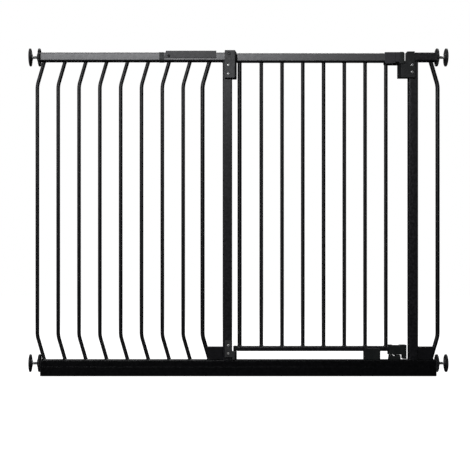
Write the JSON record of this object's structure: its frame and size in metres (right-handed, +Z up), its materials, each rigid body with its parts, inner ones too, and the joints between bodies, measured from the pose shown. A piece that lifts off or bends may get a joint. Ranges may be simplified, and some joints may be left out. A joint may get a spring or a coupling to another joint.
{
  "type": "pet gate",
  "caption": "Extra-tall black pressure-fit pet gate with a hinged walk-through door, a fixed bar extension and screw-out wall pads at its corners.",
  "frame": {"origin": "on the floor, in the middle of the gate's width and depth", "axes": "+X along the gate from the extension towards the latch side, +Y through the gate towards the side the door opens to, +Z up"},
  "size_m": [1.334, 0.057, 1.0475],
  "materials": {
    "frame_coat": "matt black powder coat, slightly violet where the light rakes it",
    "bar_coat": "matt black powder coat on round bars",
    "bracket_plastic": "fine-grained black moulding",
    "latch_plastic": "smooth dark violet-grey moulding",
    "dark_plastic": "very dark satin moulding",
    "wheel_plastic": "black moulding with a scalloped rim",
    "pad_plastic": "black moulding with a soft facing",
    "spindle_steel": "zinc-plated thread",
    "zinc": "bright zinc plating"
  },
  "bodies": {
    "frame": {"base_rail": "frame_coat", "hinge_post": "frame_coat", "latch_post": "frame_coat", "left_top_stub": "frame_coat", "right_top_stub": "frame_coat", "left_side_bar": "bar_coat", "right_side_bar": "bar_coat", "left_gusset": "frame_coat", "right_gusset": "frame_coat", "upper_hinge_bracket": "bracket_plastic", "lower_hinge_bracket": "bracket_plastic", "hinge_pins": "zinc", "frame_screws": "zinc", "latch_receiver": "bracket_plastic", "floor_catch": "dark_plastic", "door_stop": "dark_plastic", "extension_top_rail": "frame_coat", "extension_base_rail": "frame_coat", "top_joint_sleeve": "frame_coat", "base_spigot": "frame_coat", "sleeve_collar": "dark_plastic", "base_end_caps": "bracket_plastic", "top_end_bushes": "bracket_plastic", "extension_bar_1": "bar_coat", "extension_bar_2": "bar_coat", "extension_bar_3": "bar_coat", "extension_bar_4": "bar_coat", "extension_bar_5": "bar_coat", "extension_bar_6": "bar_coat", "extension_bar_7": "bar_coat", "extension_bar_8": "bar_coat"},
    "door": {"door_top_rail": "frame_coat", "door_bottom_rail": "frame_coat", "hinge_stile": "bar_coat", "hinge_eyes": "dark_plastic", "latch_housing": "latch_plastic", "latch_tongue": "dark_plastic", "lower_latch_housing": "dark_plastic", "door_bar_1": "bar_coat", "door_bar_2": "bar_coat", "door_bar_3": "bar_coat", "door_bar_4": "bar_coat", "door_bar_5": "bar_coat", "door_bar_6": "bar_coat", "door_bar_7": "bar_coat"},
    "lock": {"lock_bolt": "zinc", "thumb_slide": "latch_plastic"},
    "wheel_upper_left": {"hand_wheel_upper_left": "wheel_plastic"},
    "adjuster_upper_left": {"spindle_upper_left": "spindle_steel", "wall_pad_upper_left": "pad_plastic"},
    "wheel_lower_left": {"hand_wheel_lower_left": "wheel_plastic"},
    "adjuster_lower_left": {"spindle_lower_left": "spindle_steel", "wall_pad_lower_left": "pad_plastic"},
    "wheel_upper_right": {"hand_wheel_upper_right": "wheel_plastic"},
    "adjuster_upper_right": {"spindle_upper_right": "spindle_steel", "wall_pad_upper_right": "pad_plastic"},
    "wheel_lower_right": {"hand_wheel_lower_right": "wheel_plastic"},
    "adjuster_lower_right": {"spindle_lower_right": "spindle_steel", "wall_pad_lower_right": "pad_plastic"}
  },
  "joints": [
    {"name": "door_swing", "type": "hinge", "parent": "frame", "child": "door", "pos_m": [-0.0095, 0.006, 0], "axis": [0, 0, 1], "range_deg": [0, 95]},
    {"name": "lock_slide", "type": "slide", "parent": "door", "child": "lock", "axis": [1, 0, 0], "range_m": [0, 0.0125]},
    {"name": "wheel_turn_upper_left", "type": "hinge", "parent": "frame", "child": "wheel_upper_left", "pos_m": [-0.632, 0, 1.019], "axis": [-1, 0, 0], "range_deg": [-1800, 3600]},
    {"name": "spindle_slide_upper_left", "type": "slide", "parent": "frame", "child": "adjuster_upper_left", "axis": [-1, 0, 0], "range_m": [-0.0101, 0.0201]},
    {"name": "wheel_turn_lower_left", "type": "hinge", "parent": "frame", "child": "wheel_lower_left", "pos_m": [-0.632, 0, 0.041], "axis": [-1, 0, 0], "range_deg": [-1800, 3600]},
    {"name": "spindle_slide_lower_left", "type": "slide", "parent": "frame", "child": "adjuster_lower_left", "axis": [-1, 0, 0], "range_m": [-0.0101, 0.0201]},
    {"name": "wheel_turn_upper_right", "type": "hinge", "parent": "frame", "child": "wheel_upper_right", "pos_m": [0.632, 0, 1.019], "axis": [1, 0, 0], "range_deg": [-1800, 3600]},
    {"name": "spindle_slide_upper_right", "type": "slide", "parent": "frame", "child": "adjuster_upper_right", "axis": [1, 0, 0], "range_m": [-0.0101, 0.0201]},
    {"name": "wheel_turn_lower_right", "type": "hinge", "parent": "frame", "child": "wheel_lower_right", "pos_m": [0.632, 0, 0.041], "axis": [1, 0, 0], "range_deg": [-1800, 3600]},
    {"name": "spindle_slide_lower_right", "type": "slide", "parent": "frame", "child": "adjuster_lower_right", "axis": [1, 0, 0], "range_m": [-0.0101, 0.0201]}
  ],
  "couplings": [
    {"joint": "spindle_slide_upper_left", "follows": "wheel_turn_upper_left", "m_per_rad": 0.00031831},
    {"joint": "spindle_slide_lower_left", "follows": "wheel_turn_lower_left", "m_per_rad": 0.00031831},
    {"joint": "spindle_slide_upper_right", "follows": "wheel_turn_upper_right", "m_per_rad": 0.00031831},
    {"joint": "spindle_slide_lower_right", "follows": "wheel_turn_lower_right", "m_per_rad": 0.00031831}
  ]
}
